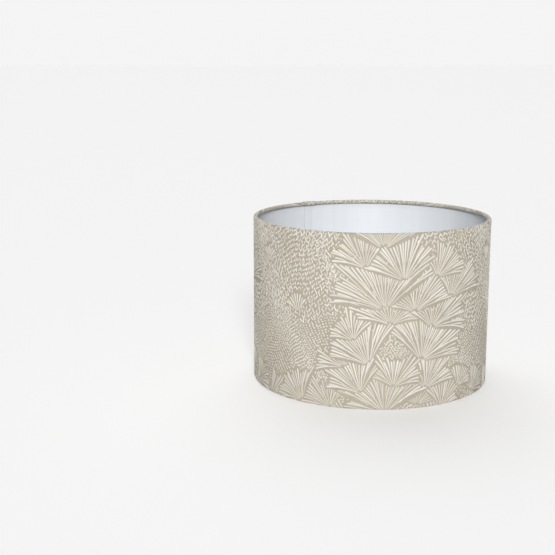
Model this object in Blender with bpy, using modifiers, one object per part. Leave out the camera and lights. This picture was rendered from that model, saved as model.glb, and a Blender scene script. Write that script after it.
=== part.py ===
"""A hard-lined drum lamp shade, the way up that it stands on a table-lamp base.

A strip of cloth backed by a plastic panel is rolled into a drum and lapped down one side. Its two
long edges turn round a taped wire ring at the top and another at the bottom. Three bent wire arms
rise from the bottom ring to a pressed fitter ring, and a loose plastic reducer drops into that.
Metres, +Z up, origin at the middle of the base.
"""

import math

import bmesh
import bpy
from mathutils import Matrix

# Driving dimensions
DIAMETER = 0.300
HEIGHT = 0.210
GAP = 0.0003  # between neighbours that touch on the real shade

CLOTH = 0.0005
PANEL = 0.0004
TAPE = 0.0002
WIRE = 0.0025
OVERLAP = 0.012  # of the cloth at its side seam
SEAM_ANGLE = 121.0  # degrees from +X, where the panel's ends meet
SLIT = 0.0006  # between the panel's ends, and the cloth's ends under the lap
LAP_ANGLE = 120.0  # where the cloth's lap leaves the drum
LAP_RISE = (4.0, 2.0)  # degrees before that at which it starts to rise, and has risen
CLOTH_SLIT_ANGLE = 120.5
BITE = 0.6  # share of the cloth's thickness at which the lap is rooted in it
TAPE_ANGLE = 121.2  # where the seam tape starts
TAPE_SHORT = 0.3  # degrees by which it stops before the lap's edge
TAPE_MARGIN = 0.002  # by which it stops before the drum's straight side does

ARM_ANGLES = (90.0, 210.0, 330.0)
ARM_STUB = 0.0035  # level stretch beside the ring
ARM_BEND = 0.008
ARM_SLOPE = 45.0
ARM_ABOVE_RING = 0.0009
NOTCH_HALF_WIDTH = 0.0020  # of the snip in the lower hem at each arm
NOTCH_HEIGHT = 0.006

FITTER_Z = 0.030  # underside of the fitter ring
FITTER_HOLE = 0.042
FITTER_DIAMETER = 0.0584
FITTER_SHEET = 0.0012
FITTER_LIP = 0.0038  # height of the turned-up edge above the sheet
FITTER_BEND = 0.00072  # chamfer that stands for the outer side of the bend

REDUCER_HOLE = 0.029
REDUCER_FLANGE = 0.047
REDUCER_FLANGE_HEIGHT = 0.0018
REDUCER_SPIGOT = 0.0412
REDUCER_SPIGOT_HEIGHT = 0.0030
REDUCER_CHAMFER = 0.0006

STEPS = 60  # round the drum, so that a point falls on each axis
SMALL_STEPS = 48
SIDES = 8  # round a wire, a tape or a hem
BENDS = 4  # chords along a short bend
WIRE_SIDES = 2  # the curve's bevel resolution, which gives an arm twelve sides
SHARPEST_SMOOTH = 50.0  # degrees between faces that are shaded as one surface
PAST = 0.005  # by which a cutter runs past what it cuts

# Worked out from those, from the outside in
RADIUS = DIAMETER / 2
PANEL_OUT = RADIUS - CLOTH - GAP
PANEL_IN = PANEL_OUT - PANEL
RING_RADIUS = PANEL_IN - GAP - WIRE / 2
TAPE_IN = WIRE / 2 + GAP
TAPE_OUT = TAPE_IN + TAPE
HEM_OUT = TAPE_OUT + GAP + CLOTH
HEM_INSIDE = RING_RADIUS - HEM_OUT
HEM_CENTRE = (RADIUS + HEM_INSIDE) / 2
HEM_WIDE = (RADIUS - HEM_INSIDE) / 2
STEP = 360.0 / SIDES
RING_Z = HEM_OUT * math.cos(math.radians(STEP / 2))  # the hem's lowest chord is then at z = 0
ARM_Z = RING_Z + ARM_ABOVE_RING
FLAP_IN = RADIUS + GAP + TAPE + GAP
FITTER_TOP = FITTER_Z + FITTER_SHEET


def clear_scene():
    for item in list(bpy.data.objects):
        bpy.data.objects.remove(item, do_unlink=True)


def collection(name):
    made = bpy.data.collections.new(name)
    bpy.context.scene.collection.children.link(made)
    return made


def material(name, colour, roughness, metallic=0.0):
    made = bpy.data.materials.new(name)
    made.use_nodes = True
    made.diffuse_color = (*colour, 1.0)
    shader = made.node_tree.nodes["Principled BSDF"]
    shader.inputs["Base Color"].default_value = (*colour, 1.0)
    shader.inputs["Roughness"].default_value = roughness
    shader.inputs["Metallic"].default_value = metallic
    return made


def add(name, mesh, finish):
    """A sub-part of the shade. Without a finish it is a tool that cuts or joins another."""
    made = bpy.data.objects.new(name, mesh)
    if finish:
        mesh.materials.append(finish)
        shade.objects.link(made)
    else:
        tools.objects.link(made)
        made.hide_render = True
        made.display_type = "WIRE"
    return made


def smooth(mesh):
    mesh.shade_smooth()
    mesh.set_sharp_from_angle(angle=math.radians(SHARPEST_SMOOTH))


def polar(radius, degrees):
    angle = math.radians(degrees)
    return (radius * math.cos(angle), radius * math.sin(angle))


def turned(name, profile, finish, steps=STEPS):
    """The closed profile of (radius, height) points, turned once round +Z. It runs down its outer side."""
    mesh = bpy.data.meshes.new(name)
    count = len(profile)
    edges = [(i, (i + 1) % count) for i in range(count)]
    mesh.from_pydata([(radius, 0.0, height) for radius, height in profile], edges, [])
    made = add(name, mesh, finish)
    screw = made.modifiers.new("Turn", "SCREW")
    screw.axis = "Z"
    screw.angle = math.tau
    screw.steps = steps
    screw.render_steps = steps
    screw.use_merge_vertices = False
    graph = bpy.context.evaluated_depsgraph_get()
    made.data = bpy.data.meshes.new_from_object(made.evaluated_get(graph))
    made.modifiers.clear()
    bpy.data.meshes.remove(mesh)
    made.data.name = name
    smooth(made.data)
    return made


def upright(name, outline, low, high, finish=None):
    """The flat outline of (x, y) points, carried up from low to high."""
    form = bmesh.new()
    face = form.faces.new([form.verts.new((x, y, low)) for x, y in outline])
    lifted = bmesh.ops.extrude_face_region(form, geom=[face])["geom"]
    bmesh.ops.translate(
        form,
        verts=[item for item in lifted if isinstance(item, bmesh.types.BMVert)],
        vec=(0.0, 0.0, high - low),
    )
    bmesh.ops.recalc_face_normals(form, faces=form.faces)
    mesh = bpy.data.meshes.new(name)
    form.to_mesh(mesh)
    form.free()
    smooth(mesh)
    return add(name, mesh, finish)


def block(name, low, high, degrees):
    """A cutter from corner low to corner high, turned round +Z."""
    form = bmesh.new()
    bmesh.ops.create_cube(form, size=1.0)
    size = [b - a for a, b in zip(low, high)]
    middle = [(a + b) / 2 for a, b in zip(low, high)]
    place = Matrix.Rotation(math.radians(degrees), 4, "Z") @ Matrix.Translation(middle)
    bmesh.ops.transform(form, matrix=place @ Matrix.Diagonal((*size, 1.0)), verts=form.verts)
    mesh = bpy.data.meshes.new(name)
    form.to_mesh(mesh)
    form.free()
    return add(name, mesh, None)


def shaped(target, tool, operation):
    change = target.modifiers.new(f"{operation} {tool.name}", "BOOLEAN")
    change.operation = operation
    change.object = tool
    return target


def arc(centre, wide, high, angles):
    """Points of an ellipse in the radius and height plane, at angles in degrees from outwards to up."""
    radius, height = centre
    return [
        (radius + wide * math.cos(math.radians(a)), height + high * math.sin(math.radians(a)))
        for a in angles
    ]


def band(radius_in, radius_out, start, end):
    """The outline in plan of a thin strip bent round the axis."""
    stations = [start + (end - start) * i / BENDS for i in range(BENDS + 1)]
    outer = [polar(radius_out, a) for a in stations]
    return outer + [polar(radius_in, a) for a in reversed(stations)]


def cover_profile():
    """The cloth's section: out over the top ring, down the drum, and round the bottom ring."""
    turn = [0.0] + [STEP / 2 + STEP * i for i in range(6)]  # from the drum, round the ring
    inner_wide, inner_high = HEM_WIDE - CLOTH, HEM_OUT - CLOTH
    top, bottom = (HEM_CENTRE, HEIGHT - RING_Z), (HEM_CENTRE, RING_Z)
    down = arc(top, HEM_WIDE, HEM_OUT, reversed(turn))
    down += arc(bottom, HEM_WIDE, HEM_OUT, [-a for a in turn])
    up = arc(bottom, inner_wide, inner_high, [-a for a in reversed(turn)])
    up += arc(top, inner_wide, inner_high, turn)
    return down + up


def make_cover(finish, notches):
    """The cloth cover, with its ends lapped at the side seam and snipped round each arm."""
    cover = turned("cloth_cover", cover_profile(), finish)
    end = LAP_ANGLE + math.degrees(OVERLAP / RADIUS)
    buried = RADIUS - CLOTH * BITE
    foot, crest = (LAP_ANGLE - before for before in LAP_RISE)
    ramp = [polar(buried, foot), polar(RADIUS + CLOTH, crest)]
    lap = band(FLAP_IN, FLAP_IN + CLOTH, LAP_ANGLE, end)
    outline = ramp + lap + [polar(buried, LAP_ANGLE)]
    flap = upright("cloth_lap", outline, RING_Z, HEIGHT - RING_Z)
    shaped(cover, flap, "UNION")
    slit = block(
        "cloth_slit",
        (HEM_INSIDE - PAST, -SLIT / 2, -PAST),
        (RADIUS + GAP / 2, SLIT / 2, HEIGHT + PAST),
        CLOTH_SLIT_ANGLE,
    )
    shaped(cover, slit, "DIFFERENCE")
    for notch in notches:
        shaped(cover, notch, "DIFFERENCE")
    return cover


def make_panel(finish):
    """The lining panel, a plain band whose ends meet at the seam."""
    low, high = RING_Z, HEIGHT - RING_Z
    profile = [(PANEL_OUT, high), (PANEL_OUT, low), (PANEL_IN, low), (PANEL_IN, high)]
    panel = turned("lining_panel", profile, finish)
    slit = block(
        "panel_slit",
        (PANEL_IN - PAST, -SLIT / 2, low - PAST),
        (PANEL_OUT + PAST, SLIT / 2, high + PAST),
        SEAM_ANGLE,
    )
    return shaped(panel, slit, "DIFFERENCE")


def make_seam_tape(finish):
    """The strip of double-sided tape that closes the lap."""
    end = LAP_ANGLE - TAPE_SHORT + math.degrees(OVERLAP / RADIUS)
    outline = band(RADIUS + GAP, RADIUS + GAP + TAPE, TAPE_ANGLE, end)
    low, high = RING_Z + TAPE_MARGIN, HEIGHT - RING_Z - TAPE_MARGIN
    return upright("seam_tape", outline, low, high, finish)


def make_ring(name, height, finish):
    """A welded ring of round wire."""
    angles = [STEP / 2 - STEP * i for i in range(SIDES)]
    return turned(name, arc((RING_RADIUS, height), WIRE / 2, WIRE / 2, angles), finish)


def make_ring_tape(name, height, finish, notches=()):
    """The tape wound round a ring, open on the side that faces the panel."""
    angles = [STEP * 1.5 + STEP * i for i in range(6)]
    section = arc((RING_RADIUS, height), TAPE_IN, TAPE_IN, angles)
    section += arc((RING_RADIUS, height), TAPE_OUT, TAPE_OUT, reversed(angles))
    tape = turned(name, section, finish)
    for notch in notches:
        shaped(tape, notch, "DIFFERENCE")
    return tape


def arm_route():
    """(radius, height) points of an arm: level off the ring, up a slope, and level to the fitter."""
    slope = math.radians(ARM_SLOPE)
    high = FITTER_TOP + FITTER_LIP / 2
    outer = RING_RADIUS - WIRE / 2 - GAP
    trim = ARM_BEND * math.tan(slope / 2)
    low_corner = outer - ARM_STUB - trim
    high_corner = low_corner - (high - ARM_Z) / math.tan(slope)
    turns = [slope * i / BENDS for i in range(BENDS + 1)]
    points = [(outer, ARM_Z)]
    points += [
        (low_corner + trim - ARM_BEND * math.sin(t), ARM_Z + ARM_BEND * (1 - math.cos(t)))
        for t in turns
    ]
    points += [
        (high_corner - trim + ARM_BEND * math.sin(t), high - ARM_BEND * (1 - math.cos(t)))
        for t in reversed(turns)
    ]
    points.append((FITTER_DIAMETER / 2 + GAP, high))
    return points


def make_arm(name, degrees, finish):
    """One bent wire arm, from the bottom ring to the fitter ring."""
    curve = bpy.data.curves.new(name, "CURVE")
    curve.dimensions = "3D"
    curve.bevel_depth = WIRE / 2
    curve.bevel_resolution = WIRE_SIDES
    curve.use_fill_caps = True
    route = arm_route()
    spline = curve.splines.new("POLY")
    spline.points.add(len(route) - 1)
    for point, (radius, height) in zip(spline.points, route):
        point.co = (radius, 0.0, height, 1.0)
    arm = add(name, curve, finish)
    arm.rotation_euler.z = math.radians(degrees)
    return arm


def make_fitter(finish):
    """The pressed ring that takes a lampholder: a flat washer with a turned-up edge."""
    hole, edge = FITTER_HOLE / 2, FITTER_DIAMETER / 2
    lip = edge - FITTER_SHEET
    high = FITTER_TOP + FITTER_LIP
    profile = [
        (edge, high),
        (edge, FITTER_Z + FITTER_BEND),
        (edge - FITTER_BEND, FITTER_Z),
        (hole, FITTER_Z),
        (hole, FITTER_TOP),
        (lip, FITTER_TOP),
        (lip, high),
    ]
    return turned("fitter_ring", profile, finish, SMALL_STEPS)


def make_reducer(finish):
    """The loose reducer. Its origin is on its axis, on the face that rests on the fitter ring."""
    hole, spigot, flange = REDUCER_HOLE / 2, REDUCER_SPIGOT / 2, REDUCER_FLANGE / 2
    low, high, bevel = -REDUCER_SPIGOT_HEIGHT, REDUCER_FLANGE_HEIGHT, REDUCER_CHAMFER
    profile = [
        (flange - bevel, high),
        (flange, high - bevel),
        (flange, 0.0),
        (spigot, 0.0),
        (spigot, low + bevel),
        (spigot - bevel, low),
        (hole, low),
        (hole, high - bevel),
        (hole + bevel, high),
    ]
    reducer = turned("reducer_ring", profile, finish, SMALL_STEPS)
    reducer.location.z = FITTER_TOP + GAP
    return reducer


clear_scene()
shade = collection("lamp_shade")
tools = collection("cutters")

cloth = material("cloth", (0.58, 0.53, 0.45), 0.9)
satin_lining = material("satin lining", (0.82, 0.85, 0.88), 0.4)
clear_tape = material("double-sided tape", (0.75, 0.73, 0.66), 0.6)
white_coat = material("white powder coat", (0.80, 0.80, 0.78), 0.45)
white_plastic = material("white plastic", (0.86, 0.86, 0.83), 0.5)

arm_notches = [
    block(
        f"arm_notch_{number}",
        (HEM_INSIDE - PAST, -NOTCH_HALF_WIDTH, ARM_Z - WIRE / 2 - GAP),
        (RING_RADIUS - GAP, NOTCH_HALF_WIDTH, RING_Z + NOTCH_HEIGHT),
        degrees,
    )
    for number, degrees in enumerate(ARM_ANGLES, 1)
]

make_cover(cloth, arm_notches)
make_panel(satin_lining)
make_seam_tape(clear_tape)
make_ring("top_ring", HEIGHT - RING_Z, white_coat)
make_ring("bottom_ring", RING_Z, white_coat)
make_ring_tape("top_ring_tape", HEIGHT - RING_Z, clear_tape)
make_ring_tape("bottom_ring_tape", RING_Z, clear_tape, arm_notches)
for number, degrees in enumerate(ARM_ANGLES, 1):
    make_arm(f"spider_arm_{number}", degrees, white_coat)
make_fitter(white_coat)
make_reducer(white_plastic)
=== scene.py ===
import math

import bpy
import numpy as np
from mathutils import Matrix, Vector


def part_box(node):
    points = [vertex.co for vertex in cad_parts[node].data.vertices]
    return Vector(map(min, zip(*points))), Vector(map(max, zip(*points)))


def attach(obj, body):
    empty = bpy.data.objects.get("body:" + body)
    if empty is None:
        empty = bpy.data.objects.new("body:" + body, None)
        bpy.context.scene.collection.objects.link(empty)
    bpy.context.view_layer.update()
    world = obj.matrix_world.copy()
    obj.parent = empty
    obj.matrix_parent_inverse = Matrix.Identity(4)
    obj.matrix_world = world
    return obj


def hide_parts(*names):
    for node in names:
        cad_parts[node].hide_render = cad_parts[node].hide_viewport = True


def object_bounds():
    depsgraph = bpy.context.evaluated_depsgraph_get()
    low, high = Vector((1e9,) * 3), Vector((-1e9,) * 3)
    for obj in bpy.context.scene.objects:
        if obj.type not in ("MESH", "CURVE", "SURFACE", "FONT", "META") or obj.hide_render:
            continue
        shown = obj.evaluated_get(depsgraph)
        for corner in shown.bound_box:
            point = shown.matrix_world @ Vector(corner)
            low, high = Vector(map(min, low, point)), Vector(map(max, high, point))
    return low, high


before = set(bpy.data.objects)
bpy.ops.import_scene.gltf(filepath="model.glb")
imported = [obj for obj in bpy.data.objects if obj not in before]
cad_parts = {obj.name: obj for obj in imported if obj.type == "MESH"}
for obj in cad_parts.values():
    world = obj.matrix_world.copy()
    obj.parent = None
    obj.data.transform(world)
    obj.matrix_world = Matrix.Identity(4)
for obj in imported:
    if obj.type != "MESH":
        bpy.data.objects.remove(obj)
cad_low, cad_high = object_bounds()


# --------------------------------------------------------------------------------------------
# Wire rings. Each rim of the drum is held round by a ring of mild-steel wire, bent to a circle,
# butt-welded where its ends meet and powder-coated white. The cloth hides both but for the snips
# round the arms, where the lower ring can be seen.


def about_axis(radius, angle, height):
    """Points at a radius, an angle and a height, given as arrays that fit over each other."""
    radius, angle, height = np.broadcast_arrays(radius, angle, height)
    return np.stack([radius * np.cos(angle), radius * np.sin(angle), height], -1)


def grid_faces(rows, columns, close_rows=False, close_columns=False):
    """Corner numbers of the faces between neighbours of a rows by columns grid of points, and the same
    corners counted without wrapping, for laying out a pattern across the join."""
    i, j = np.meshgrid(
        np.arange(rows if close_rows else rows - 1),
        np.arange(columns if close_columns else columns - 1),
        indexing="ij",
    )
    row = np.stack([i, i + 1, i + 1, i], -1).reshape(-1, 4)
    column = np.stack([j, j, j + 1, j + 1], -1).reshape(-1, 4)
    return (row % rows) * columns + column % columns, row, column


def make_mesh(name, points, corners, sizes=None, laid=None):
    """A smooth mesh from its points, its faces' corners in order, and each face's number of corners (four
    if not given). laid holds each corner's place on the flat material, in metres."""
    corners = corners.reshape(-1)
    sizes = np.full(len(corners) // 4, 4) if sizes is None else sizes
    used, corners = np.unique(corners, return_inverse=True)
    mesh = bpy.data.meshes.new(name)
    mesh.vertices.add(len(used))
    mesh.vertices.foreach_set("co", points.reshape(-1, 3)[used].astype(np.float32).ravel())
    mesh.loops.add(len(corners))
    mesh.loops.foreach_set("vertex_index", corners.astype(np.int32))
    mesh.polygons.add(len(sizes))
    mesh.polygons.foreach_set("loop_start", (np.cumsum(sizes) - sizes).astype(np.int32))
    mesh.polygons.foreach_set("use_smooth", np.ones(len(sizes), bool))
    mesh.update(calc_edges=True)
    if laid is not None:
        layer = mesh.uv_layers.new(name="laid")
        layer.data.foreach_set("uv", laid.astype(np.float32).ravel())
    made = bpy.data.objects.new(name, mesh)
    bpy.context.scene.collection.objects.link(made)
    return made


class Signal:
    """One varying number or colour of a finish. Sums with it, on either side, add Math nodes."""

    def __init__(self, finish, socket):
        self.finish = finish
        self.socket = socket

    def __add__(self, other):
        return self.finish.math("ADD", self, other)

    def __sub__(self, other):
        return self.finish.math("SUBTRACT", self, other)

    def __rsub__(self, other):
        return self.finish.math("SUBTRACT", other, self)

    def __mul__(self, other):
        return self.finish.math("MULTIPLY", self, other)

    __radd__ = __add__
    __rmul__ = __mul__


class Finish:
    """A piece's material: constants go straight on its shader, and what varies is worked out by nodes."""

    def __init__(self, name, constants):
        self.material = bpy.data.materials.new(name)
        self.material.use_nodes = True
        self.tree = self.material.node_tree
        self.shader = self.tree.nodes["Principled BSDF"]
        self.fill(self.shader, constants)

    def fill(self, node, sockets):
        for key, value in sockets.items():
            if isinstance(value, Signal):
                self.tree.links.new(value.socket, node.inputs[key])
            else:
                node.inputs[key].default_value = value

    def node(self, kind, settings, sockets, output=0):
        """Adds a node of this kind, sets it, fills its sockets with values or links, and gives an output."""
        made = self.tree.nodes.new("ShaderNode" + kind)
        for key, value in settings.items():
            setattr(made, key, value)
        self.fill(made, sockets)
        return Signal(self, made.outputs[output])

    def math(self, operation, first, second=0.0):
        return self.node("Math", {"operation": operation}, {0: first, 1: second})

    def mix(self, share, first, second):
        """The first colour where share is 0, the second where it is 1."""
        return self.node("Mix", {"data_type": "RGBA"}, {0: share, 6: first, 7: second}, output=2)

    def range(self, value, low, high, to_low=0.0, to_high=1.0):
        """value carried from low..high to to_low..to_high, and held there."""
        return self.node(
            "MapRange",
            {},
            {"Value": value, "From Min": low, "From Max": high, "To Min": to_low, "To Max": to_high},
        )

    def coordinate(self, place, axis):
        return self.node("SeparateXYZ", {}, {"Vector": place}, output=axis)

    def noise(self, place, scale, detail=2.0, roughness=0.5):
        return self.node(
            "TexNoise", {}, {"Vector": place, "Scale": scale, "Detail": detail, "Roughness": roughness}
        )

    def relief(self, height, distance, strength=1.0):
        """Drives the surface's normal from a height of 0 to 1 that stands distance metres tall."""
        bump = self.node(
            "Bump", {}, {"Height": height, "Distance": distance, "Strength": strength}
        )
        self.fill(self.shader, {"Normal": bump})


def shade_of(red, green, blue):
    """A colour as seen on a screen, 0 to 255, as the linear colour that shaders use."""
    seen = np.array([red, green, blue]) / 255
    linear = np.where(seen <= 0.04045, seen / 12.92, ((seen + 0.055) / 1.055) ** 2.4)
    return (*linear.tolist(), 1.0)


def powder_coat():
    """White powder coat: a fine orange-peel skin, a little duller and yellower where it lies thin."""
    coat = Finish("white_powder_coat", {"Specular IOR Level": 0.45, "IOR": 1.5})
    place = coat.node("TexCoord", {}, {}, output=3)
    peel = coat.noise(place, 900.0, 3.0, 0.6)
    patches = coat.noise(place, 60.0, 3.0)
    thin = coat.range(patches, 0.35, 0.7)
    white = coat.mix(thin, shade_of(236, 236, 232), shade_of(222, 221, 214))
    coat.fill(coat.shader, {"Base Color": white, "Roughness": coat.range(patches, 0.3, 0.7, 0.34, 0.5)})
    coat.relief(peel, 0.00006, 0.6)
    return coat.material


white_coat = powder_coat()

wire_low, wire_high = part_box("bottom_ring")
top_wire_low, top_wire_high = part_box("top_ring")
WIRE_RADIUS = 0.00125
# The solid's wire has eight sides, so its outermost flat lies this far inside the round wire.
WIRE_FLAT = WIRE_RADIUS * (1 - math.cos(math.pi / 8))
RING_RADIUS = wire_high.x + WIRE_FLAT - WIRE_RADIUS
BOTTOM_RING_Z = (wire_low.z + wire_high.z) / 2
TOP_RING_Z = (top_wire_low.z + top_wire_high.z) / 2
WELD_ANGLE = math.radians(32.0)


def wire_ring(name, height, body_node):
    """A torus. Its wire swells by a fifth in a bell curve 3 mm long at the butt weld."""
    steps, sides = 360, 16
    round_it = np.linspace(0, math.tau, steps, endpoint=False)[:, None]
    about = np.linspace(0, math.tau, sides, endpoint=False)[None, :]
    from_weld = (round_it - WELD_ANGLE) * RING_RADIUS
    thick = WIRE_RADIUS * (1 + 0.2 * np.exp(-((from_weld / 0.0015) ** 2)))
    points = about_axis(RING_RADIUS + thick * np.cos(about), round_it, height + thick * np.sin(about))
    corners, _, _ = grid_faces(steps, sides, True, True)
    ring = make_mesh(name, points, corners)
    ring.data.materials.append(white_coat)
    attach(ring, "shade")
    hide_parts(body_node)


wire_ring("ring_wire_bottom", BOTTOM_RING_Z, "bottom_ring")
wire_ring("ring_wire_top", TOP_RING_Z, "top_ring")


# --------------------------------------------------------------------------------------------
# Spider arms. Three lengths of the same wire, bent level off the lower ring, up a slope and level
# again to the fitter ring, resistance-welded at both ends and coated in one go with the rest.

fitter_low, fitter_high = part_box("fitter_ring")
FITTER_EDGE = fitter_high.x
arm_low, arm_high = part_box("spider_arm_1")
ARM_LOW_Z = arm_low.z + WIRE_RADIUS
ARM_HIGH_Z = arm_high.z - WIRE_RADIUS
ARM_ANGLES = [math.radians(a) for a in (90.0, 210.0, 330.0)]
ARM_STUB = 0.0035
ARM_BEND = 0.008


def arm_line(count):
    """count (radius, height) points along an arm. It is level, then a smooth ramp made of the sloping
    line rounded off at both ends by a softened clamp, then level."""
    start = RING_RADIUS - WIRE_RADIUS
    end = FITTER_EDGE
    radius = np.linspace(start, end, count)
    rise = ARM_HIGH_Z - ARM_LOW_Z
    run = start - ARM_STUB - radius - ARM_BEND * 0.41
    soft = ARM_BEND * 0.12
    lifted = soft * np.logaddexp(0, run / soft)
    height = lifted - soft * np.logaddexp(0, (lifted - rise) / soft)
    return radius, ARM_LOW_Z + height


def tube(centre, normal, binormal, thick, sides=14):
    """Points of a round tube: each station's circle of radius thick lies across the line."""
    about = np.linspace(0, math.tau, sides, endpoint=False)
    ring = np.cos(about)[None, :, None] * normal[:, None] + np.sin(about)[None, :, None] * binormal[:, None]
    return centre[:, None] + thick[:, None, None] * ring


def spider_arm(number, angle):
    """A tube along the arm's line. Its radius grows by up to half in the last 2 mm at each weld."""
    count, sides = 90, 14
    radius, height = arm_line(count)
    line = np.stack([radius, np.zeros(count), height], -1)
    along = np.gradient(line, axis=0)
    along /= np.linalg.norm(along, axis=1, keepdims=True)
    side = np.tile([0.0, 1.0, 0.0], (count, 1))
    up = np.cross(along, side)
    gone = np.concatenate([[0], np.cumsum(np.linalg.norm(np.diff(line, axis=0), axis=1))])
    weld = np.exp(-gone / 0.0012) + np.exp(-(gone[-1] - gone) / 0.0012)
    points = tube(line, side, up, WIRE_RADIUS * (1 + 0.45 * weld), sides)
    turn = np.array(
        [
            [math.cos(angle), math.sin(angle), 0],
            [-math.sin(angle), math.cos(angle), 0],
            [0, 0, 1],
        ]
    )
    corners, _, _ = grid_faces(count, sides, False, True)
    ends = np.concatenate([np.arange(sides)[::-1], (count - 1) * sides + np.arange(sides)])
    corners = np.concatenate([corners.reshape(-1), ends])
    sizes = np.concatenate([np.full((count - 1) * sides, 4), [sides, sides]])
    arm = make_mesh(f"arm_wire_{number}", points.reshape(-1, 3) @ turn, corners, sizes)
    arm.data.set_sharp_from_angle(angle=math.radians(60))
    arm.data.materials.append(white_coat)
    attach(arm, "shade")
    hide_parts(f"spider_arm_{number}")


for arm_number, arm_angle in enumerate(ARM_ANGLES, 1):
    spider_arm(arm_number, arm_angle)


# --------------------------------------------------------------------------------------------
# Fitter ring. A washer pressed from 1.2 mm sheet with its edge turned up, so that it is stiff
# where the arms are welded on. The pressing leaves every corner rounded.

FITTER_SHEET = 0.0012
FITTER_HOLE = 0.021


def rounded(outline, radii, steps=5):
    """The closed outline of (radius, height) corners with each corner rounded: points on the quadratic
    curve that leaves one edge radii from the corner and joins the next edge as far past it."""
    outline = np.array(outline, float)
    before = np.roll(outline, 1, axis=0) - outline
    after = np.roll(outline, -1, axis=0) - outline
    before /= np.linalg.norm(before, axis=1, keepdims=True)
    after /= np.linalg.norm(after, axis=1, keepdims=True)
    reach = np.array(radii, float)[:, None]
    t = np.linspace(0, 1, steps)[None, :, None]
    start, end = (outline + before * reach)[:, None], (outline + after * reach)[:, None]
    curve = (1 - t) ** 2 * start + 2 * t * (1 - t) * outline[:, None] + t**2 * end
    return curve.reshape(-1, 2)


def turned(name, profile, steps, swell=None):
    """The closed (radius, height) profile turned round +Z. swell adds to a point's radius by its angle
    and its place on the profile."""
    round_it = np.linspace(0, math.tau, steps, endpoint=False)[:, None]
    radius = profile[None, :, 0] + (0 if swell is None else swell(round_it, profile))
    points = about_axis(radius, round_it, profile[None, :, 1])
    corners, _, _ = grid_faces(steps, len(profile), True, True)
    made = make_mesh(name, points, corners)
    made.data.set_sharp_from_angle(angle=math.radians(50))
    return made


def fitter_ring():
    edge, high, low = FITTER_EDGE, fitter_high.z, fitter_low.z
    top = low + FITTER_SHEET
    outline = [
        (edge, high),
        (edge, low),
        (FITTER_HOLE, low),
        (FITTER_HOLE, top),
        (edge - FITTER_SHEET, top),
        (edge - FITTER_SHEET, high),
    ]
    radii = [0.0004, 0.0011, 0.0003, 0.0003, 0.0003, 0.0004]
    ring = turned("fitter_pressing", rounded(outline, radii), 144)
    ring.data.materials.append(white_coat)
    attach(ring, "shade")
    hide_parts("fitter_ring")


fitter_ring()


# --------------------------------------------------------------------------------------------
# Reducer. A loose ring moulded in white plastic that drops into the fitter ring. Twelve crush
# ribs round its spigot centre it, and a groove in its flange keeps the moulding from sinking.

reducer_low, reducer_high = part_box("reducer_ring")
REDUCER_FLANGE = reducer_high.x
REDUCER_HOLE = 0.0145
REDUCER_SPIGOT = 0.0206
REDUCER_SEAT_Z = reducer_high.z - 0.0018
REDUCER_RIBS = 12


def moulded_plastic():
    """White moulded plastic: a satin skin with faint flow marks and a fine spark texture."""
    plastic = Finish(
        "white_moulded_plastic",
        {"Specular IOR Level": 0.5, "Subsurface Weight": 0.06, "Subsurface Scale": 0.002},
    )
    place = plastic.node("TexCoord", {}, {}, output=3)
    flow = plastic.noise(place, 130.0, 4.0, 0.6)
    white = plastic.mix(plastic.range(flow, 0.3, 0.7), shade_of(240, 240, 236), shade_of(232, 232, 226))
    plastic.fill(
        plastic.shader, {"Base Color": white, "Roughness": plastic.range(flow, 0.3, 0.7, 0.38, 0.48)}
    )
    plastic.relief(plastic.noise(place, 2200.0, 2.0), 0.00003, 0.5)
    return plastic.material


def reducer_ring():
    """Turned from its section. The ribs are a raised cosine in the angle, on the spigot's side only."""
    hole, spigot, flange = REDUCER_HOLE, REDUCER_SPIGOT - 0.00025, REDUCER_FLANGE
    low, high, seat = reducer_low.z, reducer_high.z, REDUCER_SEAT_Z
    groove_in, groove_out, groove = hole + 0.0028, flange - 0.0024, 0.0006
    outline = [
        (flange, high),
        (flange, seat),
        (spigot, seat),
        (spigot, low),
        (hole, low),
        (hole, high),
        (groove_in, high),
        (groove_in + 0.0002, high - groove),
        (groove_out - 0.0002, high - groove),
        (groove_out, high),
    ]
    radii = [0.0005, 0.0003, 0.0002, 0.0006, 0.0003, 0.0006, 0.0002, 0.0002, 0.0002, 0.0002]

    def ribs(angle, profile):
        on_spigot = (abs(profile[:, 0] - spigot) < 0.0001) & (profile[:, 1] < seat - 0.0001)
        return 0.00025 * np.clip(np.cos(angle * REDUCER_RIBS) * 6 - 5, 0, 1) * on_spigot

    ring = turned("reducer_moulding", rounded(outline, radii, 4), 288, ribs)
    ring.data.materials.append(moulded_plastic())
    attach(ring, "reducer")
    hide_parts("reducer_ring")


reducer_ring()


# --------------------------------------------------------------------------------------------
# Ring tapes. Thin double-sided tape is folded lengthwise round each ring, its gap towards the
# lining, and holds the cloth that turns over it. It shows only in the snips round the arms.


def adhesive_tape():
    """Milky acrylic tape with small air marks."""
    tape = Finish("adhesive_tape", {"Specular IOR Level": 0.5})
    place = tape.node("TexCoord", {}, {}, output=3)
    air = tape.range(tape.noise(place, 400.0, 3.0, 0.6), 0.45, 0.65)
    milky = tape.mix(air, shade_of(214, 211, 200), shade_of(228, 226, 219))
    tape.fill(tape.shader, {"Base Color": milky, "Roughness": 0.3 + air * 0.25})
    return tape.material


tape_finish = adhesive_tape()
TAPE_RADIUS = 0.0015
TAPE_THICK = 0.00012
TAPE_REACH = math.radians(112.0)
TAPE_SNIP_HALF = 0.0020


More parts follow.
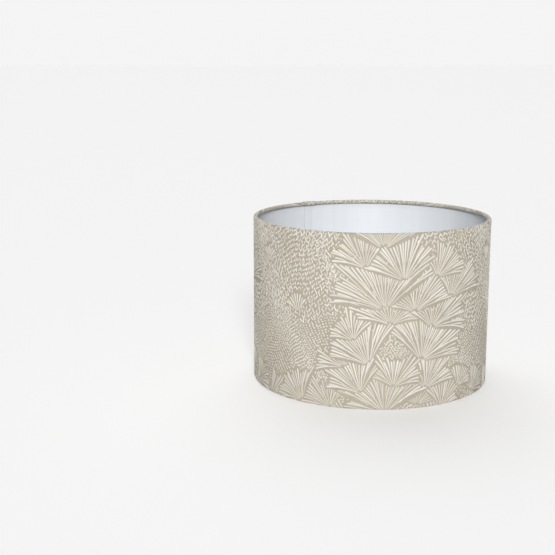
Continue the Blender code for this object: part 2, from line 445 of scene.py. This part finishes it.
def ring_tape(name, height, node, snips=()):
    """An arc of the wire's circle, a little larger, carried round the ring, and given its thickness. At
    each angle in snips it is cut away above the wire's middle."""
    steps, across = 480, 13
    round_it = np.linspace(0, math.tau, steps, endpoint=False)[:, None]
    about = np.linspace(math.pi - TAPE_REACH, math.pi + TAPE_REACH, across)[None, :]
    radius = RING_RADIUS + TAPE_RADIUS * np.cos(about)
    points = about_axis(radius, round_it, height + TAPE_RADIUS * np.sin(about))
    corners, row, column = grid_faces(steps, across, True, False)
    keep = np.ones(len(corners), bool)
    middle = (row.mean(1) / steps) * math.tau
    for angle in snips:
        off = abs((middle - angle + math.pi) % math.tau - math.pi) * RING_RADIUS
        keep &= (off > TAPE_SNIP_HALF) | (column.mean(1) > across * 0.55)
    tape = make_mesh(name, points, corners[keep])
    thick = tape.modifiers.new("thickness", "SOLIDIFY")
    thick.thickness = TAPE_THICK
    thick.offset = 0
    tape.data.materials.append(tape_finish)
    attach(tape, "shade")
    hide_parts(node)


ring_tape("tape_on_bottom_ring", BOTTOM_RING_Z, "bottom_ring_tape", ARM_ANGLES)
ring_tape("tape_on_top_ring", TOP_RING_Z, "top_ring_tape")


# --------------------------------------------------------------------------------------------
# Lining panel. A sheet of satin white plastic, rolled into a drum with its ends lapped by a few
# millimetres. Its cut edges sit behind the rings. It is stiff but never quite even: the roll that
# it came from leaves faint upright ripples.

panel_low, panel_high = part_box("lining_panel")
PANEL_OUT = panel_high.x
PANEL_IN = PANEL_OUT - 0.0004
PANEL_LAP = 0.010
PANEL_END_ANGLE = math.radians(123.8)
SEAM_ANGLE = math.radians(120.0)


def satin_lining():
    """Satin plastic sheet: cool white and faintly streaked from top to bottom by the rollers. It is painted
    greyer near its top and bottom edges, as shade under the rolled rims, and along the end that laps inside,
    as the shadow of the lap's step."""
    lining = Finish("satin_lining", {"Specular IOR Level": 0.4})
    laid = lining.node("UVMap", {"uv_map": "laid"}, {})
    stretched = lining.node("Mapping", {}, {"Vector": laid, "Scale": (1.0, 0.04, 1.0)})
    streaks = lining.noise(stretched, 160.0, 3.0, 0.6)
    broad = lining.noise(stretched, 22.0, 2.0)
    share = lining.range(streaks * 0.5 + broad * 0.5, 0.35, 0.65)
    white = lining.mix(share, shade_of(209, 213, 217), shade_of(216, 219, 222))
    length = math.tau * PANEL_IN + PANEL_LAP
    # Painted shadow: the last millimetre or so of the end that laps inside is greyed, as the shadow of the
    # lap's step.
    painted_lap_shadow = lining.range(lining.coordinate(laid, 0), length - 0.0016, length - 0.0004)
    white = lining.mix(painted_lap_shadow * 0.45, white, shade_of(150, 153, 156))
    from_middle = lining.math("ABSOLUTE", lining.coordinate(laid, 1) - (panel_low.z + panel_high.z) / 2)
    half = (panel_high.z - panel_low.z) / 2
    # Painted shade: the lining is greyed from 11 mm to 3 mm inside its top and bottom edges, where the
    # rolled rims shade it.
    painted_rim_shade = lining.range(from_middle, half - 0.011, half - 0.003)
    white = lining.mix(painted_rim_shade * 0.3, white, shade_of(176, 179, 183))
    lining.fill(lining.shader, {"Base Color": white, "Roughness": lining.range(share, 0, 1, 0.36, 0.46)})
    lining.relief(streaks, 0.00004, 0.5)
    return lining.material


def lining_panel():
    """A drum wall. Its radius ripples by a sum of cosines round it, and one end steps inside the other. A
    thin row of faces along each edge keeps the shading flat up to it."""
    steps, rows = 720, 24
    length = math.tau * PANEL_IN + PANEL_LAP
    along = np.linspace(0, length, steps)[:, None]
    height = np.linspace(panel_low.z + 0.0003, panel_high.z - 0.0003, rows - 2)
    height = np.concatenate([[panel_low.z], height, [panel_high.z]])[None, :]
    angle = PANEL_END_ANGLE + (along - length) / PANEL_IN
    ripple = sum(
        size * np.cos(count * angle + phase)
        for size, count, phase in ((0.00006, 9, 0.4), (0.00005, 17, 2.1), (0.00003, 31, 4.0))
    )
    step_in = 0.0005 * np.clip((along - (length - PANEL_LAP - 0.003)) / 0.003, 0, 1)
    points = about_axis(PANEL_IN - 0.00012 + ripple - step_in, angle, height)
    corners, row, column = grid_faces(steps, rows)
    laid = np.stack([along[row, 0], height[0, column]], -1)
    panel = make_mesh("lining", points, corners, laid=laid.reshape(-1, 2))
    thick = panel.modifiers.new("thickness", "SOLIDIFY")
    thick.thickness = 0.00035
    thick.offset = 1
    panel.data.materials.append(satin_lining())
    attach(panel, "shade")
    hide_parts("lining_panel")


lining_panel()


# --------------------------------------------------------------------------------------------
# Cloth cover. A strip of jacquard cloth, stuck to the lining, that runs once round the drum and
# laps over its own start. Its long edges turn over the rings and are tucked behind them, which
# gathers them very slightly. The lower edge is snipped on either side of each arm.

DRUM_RADIUS = cad_high.x
DRUM_MIDDLE = (cad_low.z + cad_high.z) / 2
CLOTH_THICK = 0.00045
HEM_RADIUS = 0.00245
HEM_ANGLE = math.radians(288.0)
WALL_HALF = DRUM_MIDDLE - cad_low.z - HEM_RADIUS
HEM_LENGTH = HEM_RADIUS * HEM_ANGLE
DRUM_LENGTH = math.tau * DRUM_RADIUS
LAP = 0.012
LAP_LIFT = 0.00062
CLIMB_BEFORE = 0.012
CLIMB_RUN = 0.010
SNIP_HALF = 0.0021
SNIP_FROM = math.radians(165)
CLOTH_LENGTH = DRUM_LENGTH + LAP


def waves(along, about, seed, count, low, high):
    """Smooth unevenness of about -1 to 1: a sum of count cosines, with low to high cycles round the drum,
    that drift with the angle about the ring."""
    rng = np.random.default_rng(seed)
    cycles = rng.integers(low, high, count)
    phase = rng.uniform(0, math.tau, count)
    drift = rng.uniform(-0.8, 0.8, count)
    turns = along / DRUM_RADIUS
    return sum(
        np.cos(c * turns + p + d * about) for c, p, d in zip(cycles, phase, drift)
    ) / math.sqrt(count)


def cloth_surface(along, across, above=0.0):
    """The point above the cloth at along metres round the drum and across metres up it. The wall is a
    cylinder; past its half height the cloth follows a circle round the ring, out, over and under. The
    lap is lifted over the start by a smooth step, and the turned edge puckers. Where the shade stands,
    cloth and figure are pressed flat."""
    past = np.clip(abs(across) - WALL_HALF, 0, None)
    turn = past / HEM_RADIUS
    side = np.sign(across)
    climb = np.clip((along - DRUM_LENGTH + CLIMB_BEFORE) / CLIMB_RUN, 0, 1)
    lift = LAP_LIFT * climb**2 * (3 - 2 * climb)
    inward = np.clip((turn - 0.5) / 1.2, 0, 1)
    pucker = 0.00007 * waves(along, turn, 3, 9, 90, 260) * inward
    sag = 0.00005 * waves(along, across * 60, 4, 5, 3, 14)
    out = above + lift + pucker + sag
    radius = DRUM_RADIUS - HEM_RADIUS + (HEM_RADIUS + out) * np.cos(turn)
    height = DRUM_MIDDLE + side * (np.minimum(abs(across), WALL_HALF) + (HEM_RADIUS + out) * np.sin(turn))
    pressed = cad_low.z + 0.00003 + 0.05 * np.maximum(out, 0)
    height = np.maximum(height, pressed)
    return about_axis(radius, SEAM_ANGLE + along / DRUM_RADIUS, height)


def taupe_ground():
    """The cloth's ground: a plain weave of taupe yarns, uneven in thickness and in dye, painted lighter as a
    highlight on each raised crossing.
    """
    ground = Finish("taupe_ground", {"Specular IOR Level": 0.08})
    laid = ground.node("UVMap", {"uv_map": "laid"}, {})
    yarn = 0.00042
    warp = ground.math("SINE", ground.coordinate(laid, 0) * (math.pi / yarn))
    weft = ground.math("SINE", ground.coordinate(laid, 1) * (math.pi / yarn))
    weave = warp * weft * 0.5 + 0.5
    slub_place = ground.node("Mapping", {}, {"Vector": laid, "Scale": (1.0, 7.0, 1.0)})
    slubs = ground.noise(slub_place, 190.0, 3.0, 0.6)
    mottle = ground.noise(laid, 75.0, 4.0, 0.6)
    broad = ground.noise(laid, 14.0, 2.0)
    light = ground.range(slubs * 0.4 + mottle * 0.35 + broad * 0.25, 0.38, 0.62)
    colour = ground.mix(light, shade_of(146, 139, 125), shade_of(165, 158, 144))
    # Painted highlight: the colour is lighter where the weave stands highest, on top of each yarn crossing.
    colour = ground.mix(weave * 0.3, colour, shade_of(176, 170, 157))
    rough = ground.range(mottle, 0.3, 0.7, 0.86, 0.95)
    ground.fill(ground.shader, {"Base Color": colour, "Roughness": rough})
    ground.relief(weave + slubs * 0.5, 0.00007, 0.6)
    return ground.material


def cloth_cover():
    """The cloth on a grid: even along the drum, and close together across where it turns. Round each arm
    the faces at the end of the lower turned edge are left out, as a snip."""
    columns = 860
    wall = np.linspace(-WALL_HALF, WALL_HALF, 19)
    turned_edge = WALL_HALF + HEM_LENGTH * np.linspace(0, 1, 15)[1:]
    across = np.concatenate([-turned_edge[::-1], wall, turned_edge])[None, :]
    along = np.linspace(0, CLOTH_LENGTH, columns)[:, None]
    points = cloth_surface(along, across)
    corners, row, column = grid_faces(columns, across.shape[1])
    laid = np.stack([along[row, 0], across[0, column]], -1)
    middle, height = laid.mean(1).T
    angle = SEAM_ANGLE + middle / DRUM_RADIUS
    past = (-height - WALL_HALF) / HEM_RADIUS
    keep = np.ones(len(corners), bool)
    for arm in ARM_ANGLES:
        off = abs((angle - arm + math.pi) % math.tau - math.pi) * DRUM_RADIUS
        keep &= (off > SNIP_HALF) | (past < SNIP_FROM)
    cover = make_mesh("cover", points, corners[keep], laid=laid[keep].reshape(-1, 2))
    thick = cover.modifiers.new("thickness", "SOLIDIFY")
    thick.thickness = CLOTH_THICK
    thick.offset = -1
    cover.data.materials.append(taupe_ground())
    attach(cover, "shade")
    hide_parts("cloth_cover")
    return cover


cover = cloth_cover()


# --------------------------------------------------------------------------------------------
# Cream figure. The jacquard floats thick cream yarn over the ground in low ridges: fans of rays
# that climb from root to root, leaf strokes that lean to and fro beside them, and seed dots. The
# figure repeats along the cloth, so it misses its match where the cloth laps.

REPEAT = 0.322
STAND_MIDDLE = 0.095
STAND_HALF = 0.075
FIGURE_HALF = WALL_HALF + HEM_LENGTH * 0.9


def fans_of_one_repeat(rng):
    """(along, across, lean, reach, spread) of each fan in one repeat. Roots stand on a brick lattice,
    shifted at random, inside a stand whose sides wander, and lean away from its middle. At the lower
    edge the stand is as wide as the repeat. Two small fans stand alone, one on either side of it."""
    lowest, rows_apart, fans_apart, shift = -0.142, 0.033, 0.045, 0.012
    row, column = np.meshgrid(np.arange(8), np.arange(-4, 8), indexing="ij")
    across = lowest + rows_apart * row + rng.uniform(-shift, shift, row.shape)
    along = fans_apart * (column + 0.5 * (row % 2)) + rng.uniform(-shift, shift, row.shape)
    reach = 0.043 + rng.uniform(-0.014, 0.020, row.shape)
    reach = reach + 0.018 * np.exp(-(((across - 0.02) / 0.04) ** 2))
    spread = np.radians(rng.uniform(56, 82, row.shape))
    low = np.clip((-0.070 - across) / 0.02, 0, 1)
    high = np.clip((across - 0.030) / 0.05, 0, 1)
    off = along - STAND_MIDDLE + 0.024 * high - 0.006 * np.sin(across / 0.03)
    half = STAND_HALF - 0.036 * high + 0.008 * np.sin(across / 0.021 + 1) + 0.08 * low
    lean = -np.clip(off / STAND_HALF, -1, 1) * 0.55 + rng.uniform(-0.22, 0.22, row.shape)
    reach = reach * (1 - 0.3 * np.clip(abs(off) / STAND_HALF, 0, 1))
    keep = (abs(off) < half) & (abs(along - STAND_MIDDLE) < REPEAT / 2)
    fans = np.stack([along, across, lean, reach, spread], -1)[keep]
    lone = [
        (STAND_MIDDLE - 0.128, 0.006, 0.25, 0.020, 0.85),
        (STAND_MIDDLE + 0.142, 0.060, -0.2, 0.018, 0.9),
    ]
    return np.concatenate([fans, lone])


def gap_to(rays, along, across):
    """Each point's distance to the nearest ray's edge: to the nearest point of its centre line, less half
    its width there."""
    run = rays[:, 2:4] - rays[:, 0:2]
    to_along = (along[..., None] - rays[:, 0] + REPEAT / 2) % REPEAT - REPEAT / 2
    to_across = across[..., None] - rays[:, 1]
    share = (to_along * run[:, 0] + to_across * run[:, 1]) / (run**2).sum(1)
    share = np.clip(share, 0, 1)
    off = np.hypot(to_along - share * run[:, 0], to_across - share * run[:, 1])
    return (off - (rays[:, 4] + (rays[:, 5] - rays[:, 4]) * share) / 2).min(-1)


def fan_rays(fans, rng):
    """Each fan's rays share its spread evenly and every second one starts part way out. A ray widens with
    its distance from the root. The fans are laid from the top down. A ray begins clear of those already
    laid and runs on until it nearly meets one, or to about the fan's reach where it meets none. A ray,
    like every stroke below, is a row of numbers: where it starts and where it ends, along and across, its
    width at either end, and its bend as a share of its length."""
    tips_apart, looks, farthest, clear, shortest = 0.0040, 121, 1.45, 0.0006, 0.0030
    rays = np.empty((0, 7))
    order = np.argsort(-(fans[:, 1] + rng.normal(0, 0.008, len(fans))))
    for along, across, lean, reach, spread in fans[order]:
        count = 2 * int(round(spread * reach / tips_apart)) + 1
        bearing = lean + np.linspace(-spread, spread, count) + rng.normal(0, 0.012, count)
        between = 2 * spread / (count - 1)
        second = np.arange(count) % 2 == 1
        first = np.where(second, 0.50, 0.09) + rng.uniform(-0.03, 0.03, count)
        last = rng.uniform(0.92, 1.15, count)
        step = np.linspace(0, 1, looks)[None, :]
        far = reach * (first[:, None] + (farthest - first)[:, None] * step)
        on_along = along - np.sin(bearing)[:, None] * far
        on_across = across + np.cos(bearing)[:, None] * far
        free = abs(on_across) < FIGURE_HALF
        if len(rays):
            free &= gap_to(rays, on_along, on_across) > clear
        begin_at = free.argmax(1)
        met = ~free & (np.arange(looks)[None, :] > begin_at[:, None])
        begin = far[np.arange(count), begin_at]
        stop = np.where(met.any(1), far[np.arange(count), met.argmax(1) - 1], reach * last)
        tip = np.clip(0.70 * between * stop, 0.0010, 0.0029) * rng.uniform(0.9, 1.08, count)
        root = np.where(begin_at > 4, np.clip(0.5 * between * begin, 0.0006, 0.0018), 0.0006)
        made = [
            along - np.sin(bearing) * begin,
            across + np.cos(bearing) * begin,
            along - np.sin(bearing) * stop,
            across + np.cos(bearing) * stop,
            root,
            tip,
            -0.06 * (bearing - lean) / spread,
        ]
        kept = free.any(1) & (stop - begin > shortest) & (begin < reach * 0.9)
        rays = np.concatenate([rays, np.stack(made, -1)[kept]])
    return rays


def bent_lattice(step_along, step_across, rng, scatter):
    """Points of a brick lattice over one repeat, bent by slow waves and scattered a little."""
    lattice_height = 0.246
    columns = 2 * int(round(REPEAT / step_along / 2))
    rows = int(round(lattice_height / step_across))
    column, row = np.meshgrid(np.arange(columns), np.arange(rows), indexing="ij")
    along = (column + 0.5 * (row % 2)) * REPEAT / columns
    across = (row - rows / 2) * step_across
    turns = math.tau * along / REPEAT
    bend_across = 0.0085 * np.sin(3 * turns + across / 0.030) + 0.0030 * np.sin(7 * turns + 1.3)
    bend_along = 0.0030 * np.sin(across / 0.017 + 2 * turns) + 0.0022 * np.sin(across / 0.031)
    along = along + bend_along + rng.normal(0, scatter, along.shape)
    across = across + bend_across + rng.normal(0, scatter, along.shape)
    return along, across, column


def seeds_here(along, across):
    """True where the ground between the fans carries seeds, and false where it carries leaves."""
    turns = math.tau * along / REPEAT
    return across < -0.010 + 0.014 * np.sin(turns + 2.2) + 0.008 * np.sin(3 * turns + across / 0.02)


def short_strokes(along, across, lean, length, width):
    """Strokes centred on the points, leaning by lean from upright."""
    half_along, half_across = -np.sin(lean) * length / 2, np.cos(lean) * length / 2
    return np.stack(
        [
            along - half_along,
            across - half_across,
            along + half_along,
            across + half_across,
            width,
            width,
            np.zeros(width.shape),
        ],
        -1,
    )


def leaf_strokes(rays, rng):
    """Strokes that lean left and right in turn, column by column, so that two neighbours make a leaf."""
    along, across, column = bent_lattice(0.0034, 0.0046, rng, 0.0006)
    lean = np.where(column % 2 == 0, 0.50, -0.50) + 0.35 * np.sin(across / 0.030 + along / 0.035)
    lean = lean + rng.normal(0, 0.22, lean.shape)
    length = rng.uniform(0.0040, 0.0060, lean.shape)
    width = rng.uniform(0.0015, 0.0020, lean.shape)
    gap = gap_to(rays, along, across)
    length = np.minimum(length, 0.0014 + 1.6 * np.maximum(gap, 0))
    keep = (gap > 0.0009) & ~seeds_here(along, across)
    return short_strokes(along, across, lean, length, width)[keep]


def seed_dots(rays, rng):
    """Dots on a close lattice, each a little longer than it is wide."""
    along, across, _ = bent_lattice(0.0034, 0.0029, rng, 0.00035)
    lean = rng.uniform(-1.5, 1.5, along.shape)
    length = rng.uniform(0.0021, 0.0029, lean.shape)
    width = rng.uniform(0.0019, 0.0024, lean.shape)
    keep = (gap_to(rays, along, across) > 0.0014) & seeds_here(along, across)
    return short_strokes(along, across, lean, length, width)[keep]


def filler_dots(laid, rng):
    """Dots on what is left bare: scattered points clear of all that is laid, thinned so that each is
    nearly three millimetres from those kept before it."""
    tries, batches, clear, nearest = 7000, 70, 0.0013, 0.0028
    along = rng.uniform(0, REPEAT, tries)
    across = rng.uniform(-FIGURE_HALF, FIGURE_HALF, tries)
    parts = zip(np.array_split(along, batches), np.array_split(across, batches))
    bare = np.concatenate([gap_to(laid, *part) for part in parts]) > clear
    kept = np.empty((0, 2))
    for place in np.stack([along, across], -1)[bare]:
        apart = kept - place
        apart[:, 0] = (apart[:, 0] + REPEAT / 2) % REPEAT - REPEAT / 2
        if (np.hypot(*apart.T) > nearest).all():
            kept = np.concatenate([kept, place[None]])
    lean = rng.uniform(-1.5, 1.5, len(kept))
    length, width = rng.uniform(0.0018, 0.0026, lean.shape), rng.uniform(0.0014, 0.0018, lean.shape)
    return short_strokes(kept[:, 0], kept[:, 1], lean, length, width)


def repeated(strokes):
    """One repeat's strokes set out along the whole cloth and cut off at its ends and its edges: the share
    of each stroke at which it enters and leaves the cloth, by the slab rule."""
    shift = np.arange(-1, 4) * REPEAT
    placed = np.repeat(strokes[None], len(shift), axis=0)
    placed[..., [0, 2]] += shift[:, None, None]
    placed = placed.reshape(-1, strokes.shape[1])
    start, run = placed[:, 0:2], placed[:, 2:4] - placed[:, 0:2]
    run = np.where(abs(run) < 1e-9, 1e-9, run)
    to_low = (np.array([LAP + 0.0008, -FIGURE_HALF]) - start) / run
    to_high = (np.array([CLOTH_LENGTH - 0.0008, FIGURE_HALF]) - start) / run
    enter = np.clip(np.minimum(to_low, to_high).max(1), 0, 1)[:, None]
    leave = np.clip(np.maximum(to_low, to_high).min(1), 0, 1)[:, None]
    cut = placed.copy()
    cut[:, 0:2] = start + run * enter
    cut[:, 2:4] = start + run * leave
    widen = placed[:, 5:6] - placed[:, 4:5]
    cut[:, 4:5] = placed[:, 4:5] + widen * enter
    cut[:, 5:6] = placed[:, 4:5] + widen * leave
    cut[:, 6:7] *= leave - enter
    length = np.linalg.norm(cut[:, 2:4] - cut[:, 0:2], axis=1)
    return cut[(leave > enter)[:, 0] & (length > 0.0012)]


def ridge_grid(strokes, stations, offset, rise, tall, bow, blunt):
    """Points of one low ridge for each stroke. It is a parabola through its ends, as deep as bow. Its
    width goes evenly from one end's to the other's, rounded off at both tips, and its section is an arch
    on a flat foot."""
    t = stations[None, :]
    start, run = strokes[:, 0:2], strokes[:, 2:4] - strokes[:, 0:2]
    length = np.linalg.norm(run, axis=1)
    side = np.stack([-run[:, 1], run[:, 0]], -1) / length[:, None]
    bend = (bow * length)[:, None] * 4 * t * (1 - t)
    line = start[:, None] + run[:, None] * t[..., None] + side[:, None] * bend[..., None]
    even = strokes[:, 4:5] + (strokes[:, 5:6] - strokes[:, 4:5]) * t
    from_tip = np.minimum(t, 1 - t) * length[:, None]
    tip = np.clip(from_tip / (even * blunt), 0, 1)
    half = even / 2 * np.sqrt(np.clip(1 - (1 - tip) ** 2, 0.06, 1))
    flat = line[:, :, None] + side[:, None, None] * (half[..., None] * offset)[..., None]
    above = -0.00006 + (tall * half / (half + 0.00015) + 0.00006)[..., None] * rise
    return cloth_surface(flat[..., 0], flat[..., 1], above)


def ridges(name, strokes, stations, section, tall, bow, blunt, rng):
    """A mesh of closed ridges. A stroke has a station more for every six millimetres that it runs round
    the drum, so that it doesn't cut under the cloth, and a fixed number where it turns over a rim. Each
    is bent by its own bend and a random one of about bow. tone is one number for each stroke, random, and
    lower towards the base."""
    over_rim, station_run = 22, 0.006
    offset, rise = np.array(section).T
    over = np.abs(strokes[:, [1, 3]]).max(1) > WALL_HALF - 0.001
    extra = np.where(over, -1, abs(strokes[:, 2] - strokes[:, 0]) // station_run)
    points, corners, sizes, tones, base = [], [], [], [], 0
    for more in np.unique(extra).astype(int):
        group = strokes[extra == more]
        at = np.linspace(0, 1, over_rim)
        if more >= 0:
            at = np.union1d(stations, np.linspace(stations[1], stations[-2], more + 2))
        count, rows, wide = len(group), len(at), len(offset)
        bends = group[:, 6] + rng.normal(0, bow, count)
        grid = ridge_grid(group, at, offset, rise, tall, bends, blunt)
        ring, _, _ = grid_faces(rows, wide, False, True)
        caps = np.concatenate([np.arange(wide)[::-1], (rows - 1) * wide + np.arange(wide)])
        one = np.concatenate([ring[:, ::-1].reshape(-1), caps[::-1]])
        shift = base + (np.arange(count) * rows * wide)[:, None]
        points.append(grid.reshape(-1, 3))
        corners.append((one[None, :] + shift).reshape(-1))
        sizes.append(np.tile(np.concatenate([np.full(len(ring), 4), [wide, wide]]), count))
        # The yarn's tone is lowered towards the base of the drum, which makes the figure darker there.
        darker_near_base = 1.3 * np.clip((-0.062 - group[:, 1]) / 0.03, 0, 1)
        tones.append(np.repeat(rng.normal(0, 1, count) - darker_near_base, rows * wide))
        base += count * rows * wide
    made = make_mesh(name, np.concatenate(points), np.concatenate(corners), np.concatenate(sizes))
    attribute = made.data.attributes.new("tone", "FLOAT", "POINT")
    attribute.data.foreach_set("value", np.concatenate(tones).astype(np.float32))
    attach(made, "shade")
    return made


def cream_yarn():
    """Loose cream yarn: soft, a little shiny, each float its own shade."""
    yarn = Finish("cream_yarn", {"Specular IOR Level": 0.1})
    place = yarn.node("TexCoord", {}, {}, output=3)
    tone = yarn.node("Attribute", {"attribute_name": "tone"}, {}, output=2)
    fibres = yarn.noise(place, 1500.0, 3.0, 0.6)
    light = yarn.range(tone * 0.13 + fibres, 0.1, 0.8)
    colour = yarn.mix(light, shade_of(184, 179, 169), shade_of(216, 212, 203))
    yarn.fill(yarn.shader, {"Base Color": colour, "Roughness": yarn.range(fibres, 0.3, 0.7, 0.65, 0.8)})
    yarn.relief(fibres, 0.00005, 0.5)
    return yarn.material


figure_rng = np.random.default_rng(11)
fans = fans_of_one_repeat(figure_rng)
ARCH = [(-1, 0), (-0.5, 1), (0.5, 1), (1, 0)]
RAY_STATIONS = [0, 0.04, 0.5, 0.92, 0.97, 1]
SHORT_STATIONS = [0, 0.22, 0.78, 1]
ray_repeat = fan_rays(fans, figure_rng)
leaf_repeat = leaf_strokes(ray_repeat, figure_rng)
seed_repeat = seed_dots(ray_repeat, figure_rng)
fillers = filler_dots(np.concatenate([ray_repeat, leaf_repeat, seed_repeat]), figure_rng)
rays = repeated(ray_repeat)
leaves = repeated(leaf_repeat)
seeds = repeated(np.concatenate([seed_repeat, fillers]))
yarn_finish = cream_yarn()
figure = [
    ridges("figure_fans", rays, RAY_STATIONS, ARCH, 0.00021, 0.012, 0.7, figure_rng),
    ridges("figure_leaves", leaves, SHORT_STATIONS, ARCH, 0.00021, 0.03, 0.6, figure_rng),
    ridges("figure_seeds", seeds, SHORT_STATIONS, ARCH, 0.00021, 0.0, 0.6, figure_rng),
]
for piece in figure:
    piece.data.materials.append(yarn_finish)


# --------------------------------------------------------------------------------------------
# Seam tape. A strip of the same double-sided tape lies between the cloth's start and the end
# that laps over it.


def seam_tape():
    """A thin strip of a cylinder's wall, as tall as the drum's straight side, given its thickness."""
    steps, rows = 9, 12
    along = np.linspace(0.003, LAP - 0.0012, steps)[:, None]
    across = np.linspace(-WALL_HALF + 0.002, WALL_HALF - 0.002, rows)[None, :]
    points = cloth_surface(along, across, 0.00002)
    corners, _, _ = grid_faces(steps, rows)
    tape = make_mesh("tape_in_seam", points, corners)
    thick = tape.modifiers.new("thickness", "SOLIDIFY")
    thick.thickness = TAPE_THICK
    thick.offset = 1
    tape.data.materials.append(tape_finish)
    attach(tape, "shade")
    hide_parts("seam_tape")


seam_tape()


# --------------------------------------------------------------------------------------------
# Studio. A pale floor and sky, a key light from above the camera and a weak one from behind, which
# leaves a soft shadow in front. Nothing here is part of the shade.


def floor():
    bpy.ops.mesh.primitive_plane_add(size=160.0, location=(0, 0, cad_low.z))
    made = bpy.context.object
    made.name = "floor"
    paint = Finish("floor_paint", {"Roughness": 0.95, "Base Color": shade_of(250, 250, 250)})
    made.data.materials.append(paint.material)


def soft_sun(name, energy, width, towards):
    """A far light as wide as a soft box. width is the angle that its disc fills, in degrees."""
    light = bpy.data.lights.new(name, "SUN")
    light.energy = energy
    light.angle = math.radians(width)
    made = bpy.data.objects.new(name, light)
    made.rotation_euler = Vector(towards).to_track_quat("-Z", "Y").to_euler()
    bpy.context.scene.collection.objects.link(made)


def sky():
    """By height above the horizon: a low bright band that the floor runs into, a dim stretch, and a wide
    soft light overhead."""
    world = bpy.data.worlds.new("studio")
    world.use_nodes = True
    tree = world.node_tree
    place = tree.nodes.new("ShaderNodeTexCoord")
    split = tree.nodes.new("ShaderNodeSeparateXYZ")
    ramp = tree.nodes.new("ShaderNodeValToRGB")
    levels = ((0.065, 0.91), (0.085, 0.03), (0.40, 0.03), (0.75, 0.28))
    stops = ramp.color_ramp.elements
    while len(stops) < len(levels):
        stops.new(0.5)
    for stop, (height, light) in zip(stops, levels):
        stop.position = height
        stop.color = (light, light, light, 1.0)
    tree.links.new(place.outputs["Generated"], split.inputs[0])
    tree.links.new(split.outputs["Z"], ramp.inputs[0])
    tree.links.new(ramp.outputs["Color"], tree.nodes["Background"].inputs["Color"])
    bpy.context.scene.world = world


def camera():
    lens = bpy.data.cameras.new("camera")
    lens.lens = 68.8
    lens.sensor_width = 36.0
    made = bpy.data.objects.new("camera", lens)
    made.location = (-0.1197, -1.3394, 0.4028)
    made.rotation_euler = (math.radians(90.0 - 11.58), 0, 0)
    bpy.context.scene.collection.objects.link(made)
    bpy.context.scene.camera = made


floor()
soft_sun("key", 3.45, 20.0, (0.04, 1.0, -0.47))
soft_sun("back", 1.15, 60.0, (0.10, -0.8, -1.0))
sky()
bpy.context.scene.view_settings.view_transform = "Standard"
camera()
